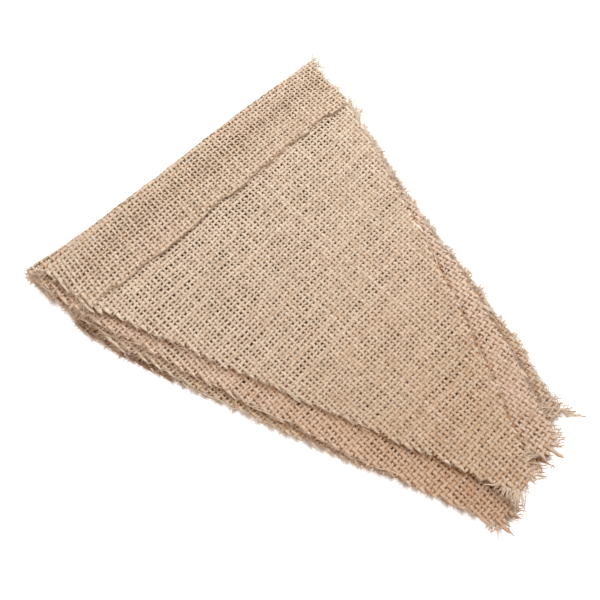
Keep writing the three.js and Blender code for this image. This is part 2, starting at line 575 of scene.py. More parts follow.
@dataclass
class Skin:
    """Arrays that fill a mesh: points in mm, faces as corner lists, and point attributes."""

    points: Array
    corners: Array
    sizes: Array
    tone: Array
    thread: Array
    slot_of_face: Array

    @staticmethod
    def joined(parts: Sequence["Skin"]) -> "Skin":
        """Several skins as one."""
        offsets = np.cumsum([0] + [len(p.points) for p in parts[:-1]])
        return Skin(
            np.concatenate([p.points for p in parts]),
            np.concatenate([p.corners + o for p, o in zip(parts, offsets)]),
            np.concatenate([p.sizes for p in parts]),
            np.concatenate([p.tone for p in parts]),
            np.concatenate([p.thread for p in parts]),
            np.concatenate([p.slot_of_face for p in parts]),
        )

    def to_object(self, name: str, materials: Sequence[bpy.types.Material]) -> bpy.types.Object:
        """Fills a mesh and links it to the scene.

        Args:
            name: the piece's name.
            materials: its materials, in slot order.

        Returns:
            A linked mesh object at the origin, with points in metres.
        """
        mesh = bpy.data.meshes.new(name)
        mesh.vertices.add(len(self.points))
        mesh.vertices.foreach_set("co", (self.points * MM).astype(np.float32).ravel())
        mesh.loops.add(len(self.corners))
        mesh.loops.foreach_set("vertex_index", self.corners.astype(np.int32))
        mesh.polygons.add(len(self.sizes))
        starts = np.concatenate([[0], np.cumsum(self.sizes)[:-1]])
        mesh.polygons.foreach_set("loop_start", starts.astype(np.int32))
        mesh.polygons.foreach_set("material_index", self.slot_of_face.astype(np.int32))
        mesh.polygons.foreach_set("use_smooth", np.ones(len(self.sizes), bool))
        tone = mesh.attributes.new("tone", "FLOAT", "POINT")
        tone.data.foreach_set("value", self.tone.astype(np.float32))
        thread = mesh.attributes.new("thread", "FLOAT_VECTOR", "POINT")
        thread.data.foreach_set("vector", self.thread.astype(np.float32).ravel())
        mesh.update(calc_edges=True)
        mesh.validate()
        for material in materials:
            mesh.materials.append(material)
        piece = bpy.data.objects.new(name, mesh)
        bpy.context.scene.collection.objects.link(piece)
        return piece


@dataclass
class Strands:
    """Rings of many strands, end to end in one list.

    A strand is a tube with an elliptical section. side and up span a ring's plane, with
    side x up pointing along the strand, and linked says whether a ring joins the next.
    """

    centre: Array
    side: Array
    up: Array
    half_width: Array
    half_thick: Array
    linked: Array
    tone: Array
    along: Array

    def skin(self, sides: int) -> Skin:
        """Tubes through the rings, closed at both ends.

        A point is centre + side * half_width * cos(angle) + up * half_thick * sin(angle).

        Args:
            sides: how many sides a tube has.

        Returns:
            The tubes, all in the first slot.
        """
        linked = self.linked.copy()
        linked[-1] = False
        before = np.concatenate([[False], linked[:-1]])
        angle = 2 * np.pi * np.arange(sides) / sides
        across = np.cos(angle)[None, :, None] * (self.side * self.half_width[:, None])[:, None, :]
        raised = np.sin(angle)[None, :, None] * (self.up * self.half_thick[:, None])[:, None, :]
        points = self.centre[:, None, :] + across + raised
        points[..., 2] = np.maximum(points[..., 2], FLOOR_GAP)
        turn = np.arange(sides)
        after = (turn + 1) % sides
        first = np.nonzero(linked)[0][:, None] * sides
        second = first + sides
        quads = np.stack([first + turn, first + after, second + after, second + turn], axis=-1)
        opening = np.nonzero(linked & ~before)[0][:, None] * sides + turn[::-1]
        closing = np.nonzero(before & ~linked)[0][:, None] * sides + turn
        corners = np.concatenate([quads.reshape(-1), opening.reshape(-1), closing.reshape(-1)])
        caps = len(opening) + len(closing)
        sizes = np.concatenate([np.full(quads.size // 4, 4), np.full(caps, sides)])
        kept = np.repeat(linked | before, sides)
        number = np.cumsum(kept) - 1
        lateral = (np.cos(angle)[None, :] * self.half_width[:, None]).reshape(-1)
        tone = np.repeat(self.tone, sides)
        thread = np.stack([np.repeat(self.along, sides), lateral, tone], axis=-1)
        return Skin(
            points.reshape(-1, 3)[kept],
            number[corners],
            sizes,
            tone[kept],
            thread[kept],
            np.zeros(len(sizes), int),
        )


@dataclass
class Pennant:
    """One pennant: how it is cut, folded and laid in the stack. Lengths in mm.

    above holds the pennants that lie on it. Where one of them covers it by inset or more,
    it has no yarns but a plain sheet, the core, of square cells.
    """

    lay: Lay
    above: list["Pennant"]
    shift: Array
    cut: Cut = Cut()
    cloth: Cloth = Cloth()
    tones: Tones = Tones()
    fold_radius: float = 0.65
    lip_radius: float = 0.4
    lip_rise: float = 0.58
    lip_run: float = 10.0
    crown_reach: float = 70.0
    lip_offset: float = 7.0
    inset: float = 9.0
    core_cell: float = 6.0
    core_half: float = 0.3
    core_rim: float = 2.0
    core_overlap: float = 2.5

    def __post_init__(self) -> None:
        """Reads the pennant's heights and seeds its random draws."""
        self.lie = Lie(self.lay.name)
        self.draw = np.random.default_rng(self.lay.seed)
        self.drift_phase = self.draw.uniform(0, 2 * np.pi, (2, len(DRIFT_WAVES)))

    def half_width(self, side: Any, down: Array) -> Array:
        """Width of the cut on one side of its middle, at a distance down from the fold.

        Straight from the fold to the shoulder, then straight to the point, with a parabola
        of the lay's bow and a sine of its sway added to the taper, less its nip at the fold.

        Args:
            side: negative for the left and positive for the right.
            down: distances down from the fold, in mm.

        Returns:
            Widths in mm.
        """
        cut, lay = self.cut, self.lay
        left = np.asarray(side) < 0
        trim = np.where(left, *lay.trim)
        bow = np.where(left, *lay.bow)
        along = np.abs(down) * cut.length / lay.length
        head = cut.half_fold + (cut.half_shoulder - cut.half_fold) * along / cut.head_depth - trim
        taper = np.clip((along - cut.head_depth) / (cut.length - cut.head_depth), 0, 1)
        belly = 4 * bow * taper * (1 - taper)
        belly = belly - np.where(left, *lay.sway) * np.sin(2 * np.pi * taper)
        nip = np.where(left, *lay.nip) * np.clip(1 - along / cut.nip_depth, 0, 1) ** 2
        body = (cut.half_shoulder - trim) * (1 - taper) + cut.tip_half_width * taper + belly
        return np.where(along < cut.head_depth, head - nip, body)

    def wander(self, side: Array, down: Array) -> Array:
        """How far a raw side strays from its line: a long wave and a short one.

        Args:
            side: negative for the left and positive for the right.
            down: distances down from the fold, in mm.

        Returns:
            Distances outwards in mm.
        """
        phase = self.lay.turn + 2 * side
        long_wave = np.sin(2 * np.pi * down / self.cut.long_wander + phase)
        short_wave = np.sin(2 * np.pi * down / self.cut.short_wander + 3 * phase)
        return self.cut.wander * (2 * long_wave + short_wave) / 3

    def place(self, across: Array, down: Array) -> tuple[Array, Array]:
        """From the pennant's own across and down to x and y: it leans, turns and shifts.

        The fold arches out by crown * (1 - (across / half_fold)^2), less further down.

        Args:
            across: distances right of the pennant's middle, in mm.
            down: distances down from the fold, in mm.

        Returns:
            x and y in mm.
        """
        lay = self.lay
        turn = math.radians(lay.turn)
        leaned = across - math.tan(math.radians(lay.lean)) * down
        arch = 1 - (across / self.cut.half_fold) ** 2
        down = down - lay.crown * arch * (1 - smooth_step(down / self.crown_reach))
        x = math.cos(turn) * leaned - math.sin(turn) * down + lay.across
        y = -(math.sin(turn) * leaned + math.cos(turn) * down + lay.down)
        return x + self.shift[0], y + self.shift[1]

    def locate(self, x: Array, y: Array) -> tuple[Array, Array]:
        """From x and y back to the pennant's own across and down, its arch nearly undone.

        Args:
            x: places in mm.
            y: the same, along Y.

        Returns:
            Distances across and down, in mm.
        """
        lay = self.lay
        turn = math.radians(lay.turn)
        right = x - self.shift[0] - lay.across
        below = -(y - self.shift[1]) - lay.down
        down = -math.sin(turn) * right + math.cos(turn) * below
        across = math.cos(turn) * right + math.sin(turn) * below
        across = across + math.tan(math.radians(lay.lean)) * down
        arch = np.clip(1 - (across / self.cut.half_fold) ** 2, 0, 1)
        down = down + lay.crown * arch * (1 - smooth_step(down / self.crown_reach))
        return across, down

    def covers(self, x: Array, y: Array, inset: float) -> Array:
        """Whether places lie under this pennant, at least inset mm in from its edges.

        Args:
            x: places in mm.
            y: the same, along Y.
            inset: how far in from the edges, in mm.

        Returns:
            True where it covers them.
        """
        across, down = self.locate(x, y)
        inside = np.abs(across) < self.half_width(across, np.clip(down, 0, None)) - inset
        return inside & (down > inset) & (down < self.lay.length - 2 * inset)

    def hidden(self, x: Array, y: Array, inset: float) -> Array:
        """Whether places lie well under one of the pennants above.

        Args:
            x: places in mm.
            y: the same, along Y.
            inset: how far in from the others' edges, in mm.

        Returns:
            True where one does.
        """
        covered = np.zeros(np.shape(x), bool)
        for pennant in self.above:
            covered |= pennant.covers(x, y, inset)
        return covered

    def painted_contact_shade(self, x: Array, y: Array) -> Array:
        """Painted shade: how much browner places are painted for lying under or close beside the pennants
        above.

        Full under a pennant, and falling to 0 over a reach out from its edge. It is weaker
        and narrower beside the left edges, which throw a shadow of their own, and stronger
        and narrower beside the folds.

        Args:
            x: places in mm.
            y: the same, along Y.

        Returns:
            What comes off their tone.
        """
        tones = self.tones
        shade = np.zeros(np.shape(x))
        for pennant in self.above:
            across, down = pennant.locate(x, y)
            from_side = pennant.half_width(across, np.clip(down, 0, None)) - np.abs(across)
            from_end = np.minimum(down, pennant.lay.length - down)
            left = (across < 0) & (from_side < from_end)
            fold = (down < from_side) & (2 * down < pennant.lay.length)
            full = np.where(fold, tones.fold, np.where(left, tones.left, tones.painted_contact_shade))
            reach = np.where(left, tones.left_shade_reach, tones.contact_shade_reach)
            reach = np.where(fold, tones.fold_shade_reach, reach)
            depth = np.minimum(from_side, from_end)
            shade = np.maximum(shade, full * smooth_step(1 + depth / reach))
        return shade

    def lips(self, across: Array) -> tuple[Array, Array]:
        """How far the flap's edge swells forward and upward: a sum of bell curves.

        Args:
            across: places along the fold, in mm.

        Returns:
            Distances forward and upward, in mm.
        """
        forward = np.zeros_like(across)
        puff = np.zeros_like(across)
        offset = self.lip_offset * self.lay.turn
        for lip in LIPS:
            bell = np.exp(-(((across - lip.across - offset) / lip.spread) ** 2))
            forward += lip.forward * bell
            puff += lip.puff * bell
        return forward, puff

    def ripple(self, across: Array) -> Array:
        """Small waves of the flap's edge: sines of unlike lengths."""
        turn = 2 * np.pi * across + self.lay.seed
        return sum(height * np.sin(turn / length) for height, length in self.cut.ripples)

    def profile(self, across: Array, along: Array) -> tuple[Array, Array]:
        """The cloth's path over the fold and round the flap's turned edge.

        Down the body the path is flat. Over the fold it is half a circle of fold_radius.
        The flap runs back down on top, rises over its last lip_run mm to its edge, turns
        under in half a circle of lip_radius and runs back up below itself.

        Args:
            across: flat places across, in mm.
            along: flat places along, in mm.

        Returns:
            Distance down from the fold, and height above the body's middle.
        """
        radius, edge = self.fold_radius, self.lip_radius
        quarter = np.pi * radius / 2
        bend = np.clip(along / radius, -np.pi / 2, np.pi / 2)
        down = radius * (1 - np.cos(bend)) + np.maximum(np.abs(along) - quarter, 0)
        rise = radius * (1 - np.sin(bend))
        forward, puff = self.lips(across)
        flap = self.cut.flap + forward + self.ripple(across)
        swell = self.lip_rise + 2 * edge - 2 * radius + puff
        swell = swell * smooth_step((down - flap + self.lip_run) / self.lip_run)
        past = np.maximum(down - flap, 0)
        angle = np.minimum(past / edge, np.pi)
        under = np.maximum(past - np.pi * edge, 0)
        turned = flap + edge * np.sin(angle) - under
        on_flap = along < 0
        down = np.where(on_flap & (past > 0), turned, down)
        rise = rise + np.where(on_flap, swell - edge * (1 - np.cos(angle)), 0.0)
        return down, rise

    def surface(self, across: Array, along: Array) -> Array:
        """The middle of the cloth, folded and lying in the stack, in mm.

        Args:
            across: flat places across, in mm.
            along: flat places along, in mm.

        Returns:
            Points, with x, y and z in the last axis.
        """
        down, rise = self.profile(across, along)
        x, y = self.place(across, down)
        z = self.lie.height(x, y) + self.cloth.sheet / 2 + rise
        return np.stack([x, y, z], axis=-1)

    def frames(self, across: Array, along: Array) -> tuple[Array, Array, Array, Array]:
        """The surface, its unit directions across and along, and its normal.

        The directions are differences over a tenth of a millimetre, and the normal is
        across x along, so it keeps pointing to the cloth's back right round the fold.

        Args:
            across: flat places across, in mm.
            along: flat places along, in mm.

        Returns:
            The points, both directions and the normals.
        """
        step = 0.05
        point = self.surface(across, along)
        to_across = unit(self.surface(across + step, along) - self.surface(across - step, along))
        to_along = unit(self.surface(across, along + step) - self.surface(across, along - step))
        normal = unit(np.cross(to_across, to_along))
        return point, to_across, to_along, normal

    def flat(self, i: Array, j: Array, stray_i: Array, stray_j: Array) -> tuple[Array, Array]:
        """Across and along of weave coordinates: warp number i and weft number j.

        The weave is a grid turned by the grain tilt, plus a smooth drift made of sines and
        each yarn's own stray. Over the flap the wefts spread apart towards the left.

        Args:
            i: warp numbers.
            j: weft numbers.
            stray_i: how far places stray across, in mm.
            stray_j: how far they stray along, in mm.

        Returns:
            Across and along in mm.
        """
        cloth = self.cloth
        tilt = math.radians(cloth.grain_tilt)
        u = i * cloth.warp.pitch
        open_up = 1 + cloth.flap_stretch * (1 - u / self.cut.half_fold)
        v = j * cloth.weft.pitch * np.where(j < 0, open_up, 1.0)
        drift = [np.zeros_like(u), np.zeros_like(u)]
        for axis in (0, 1):
            for (ku, kv), phase in zip(DRIFT_WAVES, self.drift_phase[axis]):
                drift[axis] = drift[axis] + np.sin(ku * u + kv * v + phase) * cloth.drift / 2
        u = u + drift[0] + stray_i
        v = v + drift[1] + stray_j
        return u * math.cos(tilt) + v * math.sin(tilt), v * math.cos(tilt) - u * math.sin(tilt)

    def margin(self, across: Array, along: Array) -> Array:
        """How far inside the raw edges a flat place is, in mm, negative outside.

        Args:
            across: flat places across, in mm.
            along: flat places along, in mm.

        Returns:
            Distances in mm.
        """
        down, _ = self.profile(across, along)
        side = np.sign(across)
        return self.half_width(side, down) + self.wander(side, down) - np.abs(across)

    def near_point(self, place: Array, zone: float) -> Array:
        """Whether places lie less than zone mm before the point, or past it."""
        return self.locate(place[:, 0], place[:, 1])[1] > self.lay.length - zone

    def core(self) -> Optional[Skin]:
        """The part of the cloth that lies well under others, as a plain closed sheet.

        Cells of a flat grid whose four corners are hidden get a face on either side of the
        cloth, and a rim face wherever the next cell has none.

        Returns:
            The sheet in the second slot, or None where nothing is hidden.
        """
        cell, cut, lay = self.core_cell, self.cut, self.lay
        columns = np.arange(-cut.half_fold - cell, cut.half_fold + 2 * cell, cell)
        rows = np.arange(-cut.flap + self.core_rim, lay.length, cell)
        across, along = np.meshgrid(columns, rows, indexing="ij")
        point, _, _, normal = self.frames(across, along)
        inner = self.margin(across, along) > self.core_rim
        inner &= self.hidden(point[..., 0], point[..., 1], self.inset - self.core_overlap)
        full = inner[:-1, :-1] & inner[1:, :-1] & inner[:-1, 1:] & inner[1:, 1:]
        if not full.any():
            return None
        size = across.size
        index = np.arange(size).reshape(across.shape)
        cells = [index[:-1, :-1], index[1:, :-1], index[1:, 1:], index[:-1, 1:]]
        front = np.stack(cells, axis=-1)
        faces = [front[full] + size, front[full][:, ::-1]]
        padded = np.pad(full, 1)
        rows_end, columns_end = padded.shape[0] - 1, padded.shape[1] - 1
        for corner, (di, dj) in enumerate(((0, -1), (1, 0), (0, 1), (-1, 0))):
            beside = padded[1 + di : rows_end + di, 1 + dj : columns_end + dj]
            rim = full & ~beside
            a = front[..., corner][rim]
            b = front[..., (corner + 1) % 4][rim]
            faces.append(np.stack([a, b, b + size, a + size], axis=-1))
        corners = np.concatenate(faces)
        layers = [(point + side * normal * self.core_half).reshape(-1, 3) for side in (-1, 1)]
        used, number = np.unique(corners, return_inverse=True)
        flat = np.stack([across, along, np.zeros_like(across)], axis=-1).reshape(-1, 3)
        count = len(corners)
        return Skin(
            np.concatenate(layers)[used],
            number.reshape(-1),
            np.full(count, 4),
            np.full(len(used), self.tones.middle),
            np.concatenate([flat, flat])[used],
            np.ones(count, int),
        )

    def flat_area(self) -> float:
        """The flat area of the cut, flap and tuck included, summed over strips.

        Returns:
            The area in square metres.
        """
        strip = 0.5
        down = np.arange(0, self.lay.length, strip)
        flap = np.arange(0, self.cut.flap + self.cut.tuck, strip)
        widths = [self.half_width(side, depth).sum() for side in (-1, 1) for depth in (down, flap)]
        return float(strip * sum(widths) * MM * MM)


class Weaving:
    """One set of a pennant's yarns. A row of each array is a yarn, and a column a ring.

    The yarns are laid out flat when the object is made, and strands() puts them in place.
    """

    def __init__(self, pennant: Pennant, grain: Grain, ends: YarnEnd = YarnEnd()) -> None:
        """Lays the yarns out, each a little astray, and finds how far each one reaches.

        Args:
            pennant: the pennant that they belong to.
            grain: which of its two sets they are.
            ends: how they end.
        """
        self.pennant, self.ends, self.draw = pennant, ends, pennant.draw
        self.is_warp = grain is Grain.WARP
        cloth, cut, draw = pennant.cloth, pennant.cut, self.draw
        self.yarn, self.crossed = cloth.warp, cloth.weft
        if not self.is_warp:
            self.yarn, self.crossed = cloth.weft, cloth.warp
        own = self._numbers(self.is_warp)
        self.run = self._stations(self._numbers(not self.is_warp))
        self.count = len(own)
        self.number, self.station = np.meshgrid(own.astype(float), self.run, indexing="ij")
        stray = draw.normal(0, cloth.stray, (self.count, 1)) + self._waver() * cloth.stray
        none = np.zeros(self.number.shape)
        if self.is_warp:
            flat = pennant.flat(self.number, self.station, stray, none)
        else:
            flat = pennant.flat(self.station, self.number, none, stray)
        self.across, self.along = flat
        self.margin = pennant.margin(self.across, self.along)
        ravel = draw.exponential(ends.ravel_side, (self.count, 2))
        self.ravel = np.where(self.station < 0, ravel[:, :1], ravel[:, 1:]) - ends.draw_in
        self.flap_end = cut.flap + cut.tuck + draw.normal(0, ends.flap_jitter, (self.count, 1))
        self.point_end = self._point_end()

    def _numbers(self, warps: bool) -> Array:
        """Numbers of all warps or wefts that the cut can reach, with some to spare.

        Args:
            warps: whether the warps are meant, or else the wefts.

        Returns:
            Whole numbers in order, 0 at the cut's middle or at the fold.
        """
        spare, past_point, past_flap = 8, 12, 14
        cloth, cut = self.pennant.cloth, self.pennant.cut
        if warps:
            last = int(cut.half_fold / cloth.warp.pitch) + spare
            return np.arange(-last, last + 1)
        last = int((self.pennant.lay.length + past_point) / cloth.weft.pitch)
        first = int((cut.flap + past_flap) / cloth.weft.pitch)
        return np.arange(-first, last + 1)

    def _stations(self, crossed: Array) -> Array:
        """Ring places along a yarn, a quarter of a crossing either side of each crossing.

        A warp has one more ring between each two, for where it bends over the cloth's edges.

        Args:
            crossed: numbers of the yarns that are crossed.

        Returns:
            Places counted in crossed yarns.
        """
        quarter = 0.25
        run = np.stack([crossed - quarter, crossed + quarter], axis=-1).reshape(-1)
        if self.is_warp:
            run = np.sort(np.concatenate([run, (run[1:] + run[:-1]) / 2]))
        return run

    def _waver(self) -> Array:
        """Uneven waves along each yarn: sines of random length and phase.

        Returns:
            Heights about 0, a row for each yarn.
        """
        total = np.zeros((self.count, len(self.run)))
        for low, high in WAVER_RATES:
            rate = self.draw.uniform(low, high, (self.count, 1))
            phase = self.draw.uniform(0, 2 * np.pi, (self.count, 1))
            total += np.sin(rate * self.run[None, :] + phase) / 2
        return total

    def _point_end(self) -> Array:
        """How far down each yarn goes: warps ravel past the point, wefts stop before it.

        Returns:
            Places along, one for each yarn.
        """
        ends, length, draw = self.ends, self.pennant.lay.length, self.draw
        if self.is_warp:
            ravelled = draw.exponential(ends.ravel_point, (self.count, 1))
            return length + np.minimum(ravelled, ends.longest_ravel) - ends.short_point
        return length - ends.bare_point + draw.normal(0, ends.point_jitter, (self.count, 1))

    def _shown(self, point: Array) -> Array:
        """Which rings are there: inside the yarn's ends, and not well under other cloth.

        A warp's rings between its others are kept near the fold and the flap's edge alone.

        Args:
            point: the rings' places in the stack.

        Returns:
            True for rings that are.
        """
        near_fold, near_lip = 3.5, 7.0
        pennant = self.pennant
        shown = (self.margin > -self.ravel) & (self.along < self.point_end)
        shown &= self.along > -self.flap_end
        shown &= ~pennant.hidden(point[..., 0], point[..., 1], pennant.inset)
        if self.is_warp:
            bend = np.abs(self.along) < near_fold
            bend |= np.abs(-self.along - pennant.cut.flap) < near_lip
            shown &= (np.arange(len(self.run)) % 2 == 0)[None, :] | bend
        return shown

    def _centres(self, point: Array, to_across: Array, to_along: Array, normal: Array) -> Array:
        """Ring centres in the stack, in mm.

        A yarn swings to either side of the cloth's middle by crimp * clip(crest * cos(pi n))
        where n counts the yarns that it crosses, with the sign changing from yarn to yarn.

        Args:
            point: the rings' places on the cloth's middle.
            to_across: unit directions across.
            to_along: unit directions along.
            normal: the cloth's normals.

        Returns:
            Points, with x, y and z in the last axis.
        """
        pennant, ends, draw = self.pennant, self.ends, self.draw
        cloth = pennant.cloth
        even = np.round(self.number).astype(int) % 2 == 0
        sign = np.where(even == self.is_warp, 1.0, -1.0)
        swing = np.clip(cloth.crest * np.cos(np.pi * self.station), -1, 1)
        loose = smooth_step(-self.margin / ends.loose_run + ends.loose_start)
        crimp = swing * sign * self.yarn.crimp * (1 - loose)
        outside = np.maximum(-self.margin, 0)
        splay = draw.normal(0, ends.splay, (self.count, 1)) * outside
        beyond = np.maximum(self.along - pennant.lay.length + ends.bare_point, 0)
        fan = draw.normal(0, ends.fan, (self.count, 1))
        if self.is_warp:
            fan = fan + ends.fan_out * self.across
        lateral = to_across if self.is_warp else to_along
        centre = point + normal * crimp[..., None] + lateral * (splay + fan * beyond)[..., None]
        centre[..., 2] -= ends.sag * outside + ends.point_sag * beyond
        centre[..., 2] = np.maximum(centre[..., 2], cloth.clearance)
        return centre

    def _thickness(self) -> Array:
        """How thick the yarns are at every ring, as a share of their set's width.

        Returns:
            Shares, a row for each yarn.
        """
        cloth, lay, ends, draw = self.pennant.cloth, self.pennant.lay, self.ends, self.draw
        unevenness = cloth.slub * cloth.uneven
        thick = 1 + unevenness * draw.normal(0, 1, (self.count, 1)) + cloth.slub * self._waver()
        thick = np.clip(thick, cloth.thinnest, cloth.thickest) * lay.full
        if self.is_warp:
            thick = thick + cloth.edge_swell * smooth_step(1 - self.margin / cloth.edge_reach)
        from_lip = np.abs(-self.along - self.pennant.cut.flap)
        from_fold = np.abs(self.along)
        thick = thick + cloth.lip_swell * smooth_step(1 - from_lip / cloth.lip_reach)
        thick = thick + cloth.lip_swell * smooth_step(1 - from_fold / cloth.edge_reach)
        right, down = cloth.body_middle
        from_middle = np.hypot(self.across - right, self.along - down)
        body = np.exp(-((from_middle / cloth.body_spread) ** 2))
        low = smooth_step((self.along + self.across - cloth.low_from) / cloth.low_run)
        thick = thick - cloth.open_band * cloth.band(self.along)
        thick = thick - cloth.open_body * body + cloth.close_low * low
        to_end = self.margin + self.ravel
        if self.is_warp:
            to_end = np.minimum(to_end, (self.point_end - self.along) / ends.point_run)
        return thick * (ends.thin + (1 - ends.thin) * smooth_step(to_end / ends.thin_run))

    def _tone(self, point: Array) -> Array:
        """How pale the yarns are at every ring, painted shade and highlights included.

        Args:
            point: the rings' places in the stack.

        Returns:
            Tones, a row for each yarn.
        """
        pennant, tones, along = self.pennant, self.pennant.tones, self.along
        # A lay's shade is painted: brown on the low pennants for shade, setting in below the fold, and pale
        # for light
        shade = pennant.lay.shade
        if shade < 0:
            shade = shade * smooth_step((along - tones.lay_from) / tones.lay_run)
        own = tones.between * self.draw.normal(0, 1, (self.count, 1))
        # The yarn's shade is painted light that evens out the warps' shaded flanks
        tone = tones.middle + self.yarn.shade + shade + own + tones.along * self._waver()
        tone = tone - tones.flap * (along < 0) - tones.band * pennant.cloth.band(along)
        # Painted shade for the light falling off towards the point
        tone = tone - tones.low * smooth_step((along - tones.low_from) / tones.low_run)
        # Painted shade under and beside the pennants above
        tone = tone - pennant.painted_contact_shade(point[..., 0], point[..., 1])
        tone = tone + tones.edge * smooth_step(1 - self.margin / tones.edge_reach)
        # A painted highlight along the fold's crest
        return tone + tones.crest * smooth_step(1 - np.abs(along) / tones.crest_highlight_reach)

    def strands(self) -> Strands:
        """The yarns in the stack, as far as the cut and what covers them let them show.

        Returns:
            The rings that are there.
        """
        pennant, ends = self.pennant, self.ends
        point, to_across, to_along, normal = pennant.frames(self.across, self.along)
        centre = self._centres(point, to_across, to_along, normal)
        thick = self._thickness()
        tone = self._tone(point)
        keep = self._shown(point).reshape(-1)
        slot = np.tile(np.arange(len(self.run)), self.count)[keep]
        yarn_number = np.repeat(np.arange(self.count), len(self.run))[keep]
        linked = np.zeros(len(slot), bool)
        most_apart = 2 if self.is_warp else 1
        linked[:-1] = (np.diff(slot) <= most_apart) & (np.diff(yarn_number) == 0)
        before = np.concatenate([[False], linked[:-1]])
        last_ring = ~(linked & before)
        raw = np.abs(self.margin) < ends.raw_side
        raw |= self.along > pennant.lay.length - ends.raw_point
        taper = np.where(last_ring & raw.reshape(-1)[keep], ends.tip, 1.0)
        side = -to_across if self.is_warp else to_along
        thick = thick.reshape(-1)[keep]
        return Strands(
            centre.reshape(-1, 3)[keep],
            side.reshape(-1, 3)[keep],
            normal.reshape(-1, 3)[keep],
            thick * taper * self.yarn.width / 2,
            np.sqrt(thick) * taper * self.yarn.thickness / 2,
            linked,
            tone.reshape(-1)[keep],
            (self.station * self.crossed.pitch).reshape(-1)[keep],
        )


@dataclass
class Fringe:
    """The loose fibres of a pennant: frays, hairs, tufts and stray threads.

    sides is how many a fibre's tube has, and it shows the streaks of streak_run mm of yarn.
    """

    pennant: Pennant
    fray: Fray = Fray()
    hair: Hair = Hair()
    wisp: Wisp = Wisp()
    thread: LooseThread = LooseThread()
    sides: int = 3
    streak_run: float = 3.0

    def __post_init__(self) -> None:
        """Takes up the pennant's lay and its random draws."""
        self.lay = self.pennant.lay
        self.draw = self.pennant.draw

    def frays(self, yarns: Strands) -> Strands:
        """Fine fibres that splay from every raw yarn end.

        A fibre starts inside its yarn and follows p + t L (tangent + splay) + t^2 L curl.

        Args:
            yarns: the warps or the wefts.

        Returns:
            The fibres.
        """
        fray, draw, fibres, rings = self.fray, self.draw, self.lay.fibres, len(self.fray.taper)
        before = np.concatenate([[False], yarns.linked[:-1]])
        closing = np.nonzero(before & ~yarns.linked)[0]
        opening = np.nonzero(yarns.linked & ~before)[0]
        at = np.concatenate([closing, opening])
        inner = np.concatenate([closing - 1, opening + 1])
        place = yarns.centre[at]
        outside = self._raw(place)
        at_point = self.pennant.near_point(place, fray.point_zone)
        outside &= at_point | (draw.random(len(at)) < self.lay.shag)
        at, inner = at[outside], inner[outside]
        tangent = unit(yarns.centre[at] - yarns.centre[inner])
        count = len(at) * fibres
        at, tangent = np.repeat(at, fibres), np.repeat(tangent, fibres, axis=0)
        side, start = yarns.side[at], yarns.centre[at]
        at_point = self.pennant.near_point(start, fray.point_zone)
        scale = np.where(at_point, fray.point_scale, self.lay.fuzz)
        reach = draw.gamma(fray.evenness, scale, count) + np.where(at_point, fray.point_reach, self.lay.fuzz)
        spread = draw.normal(0, 1, count) * np.where(at_point, *fray.spread[::-1])
        curl = draw.normal(0, 1, count) * np.where(at_point, *fray.curl[::-1])
        lift = draw.normal(0.0, fray.lift, count)
        offset = draw.uniform(-fray.offset, fray.offset, count) * yarns.half_width[at]
        t = np.linspace(0, 1, rings)[None, :, None]
        start = start - tangent * fray.inside + side * offset[:, None]
        straight = tangent + side * spread[:, None] + UP * lift[:, None]
        long_reach = (reach + fray.inside)[:, None, None]
        centre = start[:, None] + t * long_reach * straight[:, None]
        bent = t * t * long_reach * (side * curl[:, None])[:, None]
        centre = centre + bent * fray.curl_share
        centre[..., 2] = np.maximum(centre[..., 2], fray.lowest)
        size = draw.uniform(fray.thinnest, fray.thickest, count)[:, None] * np.array(fray.taper)
        return self._fine(centre, size, np.repeat(yarns.tone[at] + fray.paler, rings))

    def _raw(self, place: Array) -> Array:
        """Whether places are at a raw side or the point, and not where a yarn is hidden.

        Args:
            place: points in the stack.

        Returns:
            True for those at a raw edge.
        """
        near_side, near_point = 3.5, 14.0
        across, down = self.pennant.locate(place[:, 0], place[:, 1])
        half = self.pennant.half_width(across, np.clip(down, 0, None))
        return (half - np.abs(across) < near_side) | (down > self.lay.length - near_point)

    def _fine(self, centre: Array, size: Array, tone: Array) -> Strands:
        """Thin round strands of equal ring counts.

        Args:
            centre: ring centres, of shape (strand, ring, 3).
            size: diameters in mm, of shape (strand, ring).
            tone: one tone for each ring, in one list.

        Returns:
            The strands, with side and up square to each run.
        """
        count, rings = centre.shape[:2]
        tangent = unit(np.gradient(centre, axis=1))
        side = unit(np.cross(tangent, UP))
        up = np.cross(tangent, side)
        linked = np.ones((count, rings), bool)
        linked[:, -1] = False
        step = np.tile(np.linspace(0, self.streak_run, rings), count)
        radius = size.reshape(-1) / 2
        flat_list = (part.reshape(-1, 3) for part in (centre, side, up))
        return Strands(*flat_list, radius, radius, linked.reshape(-1), tone, step)

    def hairs(self, yarns: Strands) -> Strands:
        """Loose hairs that lift off the yarns in low arcs.

        A hair is p + d L t + z h 4t(1-t), with d a level direction near its yarn's own.

        Args:
            yarns: the warps or the wefts that they lift off.

        Returns:
            The hairs.
        """
        hair, draw, rings, count = self.hair, self.draw, len(self.hair.taper), self.lay.hairs
        at = draw.choice(len(yarns.centre) - 1, count, replace=False)
        angle = draw.normal(0, hair.swing, count)
        ahead = unit((yarns.centre[at + 1] - yarns.centre[at]) * [1.0, 1.0, 0.0])
        beside = unit(np.cross(ahead, UP))
        level = ahead * np.cos(angle)[:, None] + beside * np.sin(angle)[:, None]
        reach = draw.gamma(hair.evenness, hair.reach, count) + hair.shortest
        height = draw.gamma(hair.lift_evenness, hair.height, count)
        curl = draw.normal(0, hair.curl, count)
        t = np.linspace(0, 1, rings)[None, :, None]
        centre = yarns.centre[at][:, None] + t * (level * reach[:, None])[:, None]
        centre = centre + t * t * (beside * (curl * reach)[:, None])[:, None]
        centre[..., 2] += hair.above + height[:, None] * (4 * t * (1 - t))[..., 0]
        size = draw.uniform(hair.thinnest, hair.thickest, count)[:, None] * np.array(hair.taper)
        return self._fine(centre, size, np.repeat(yarns.tone[at] + hair.paler, rings))

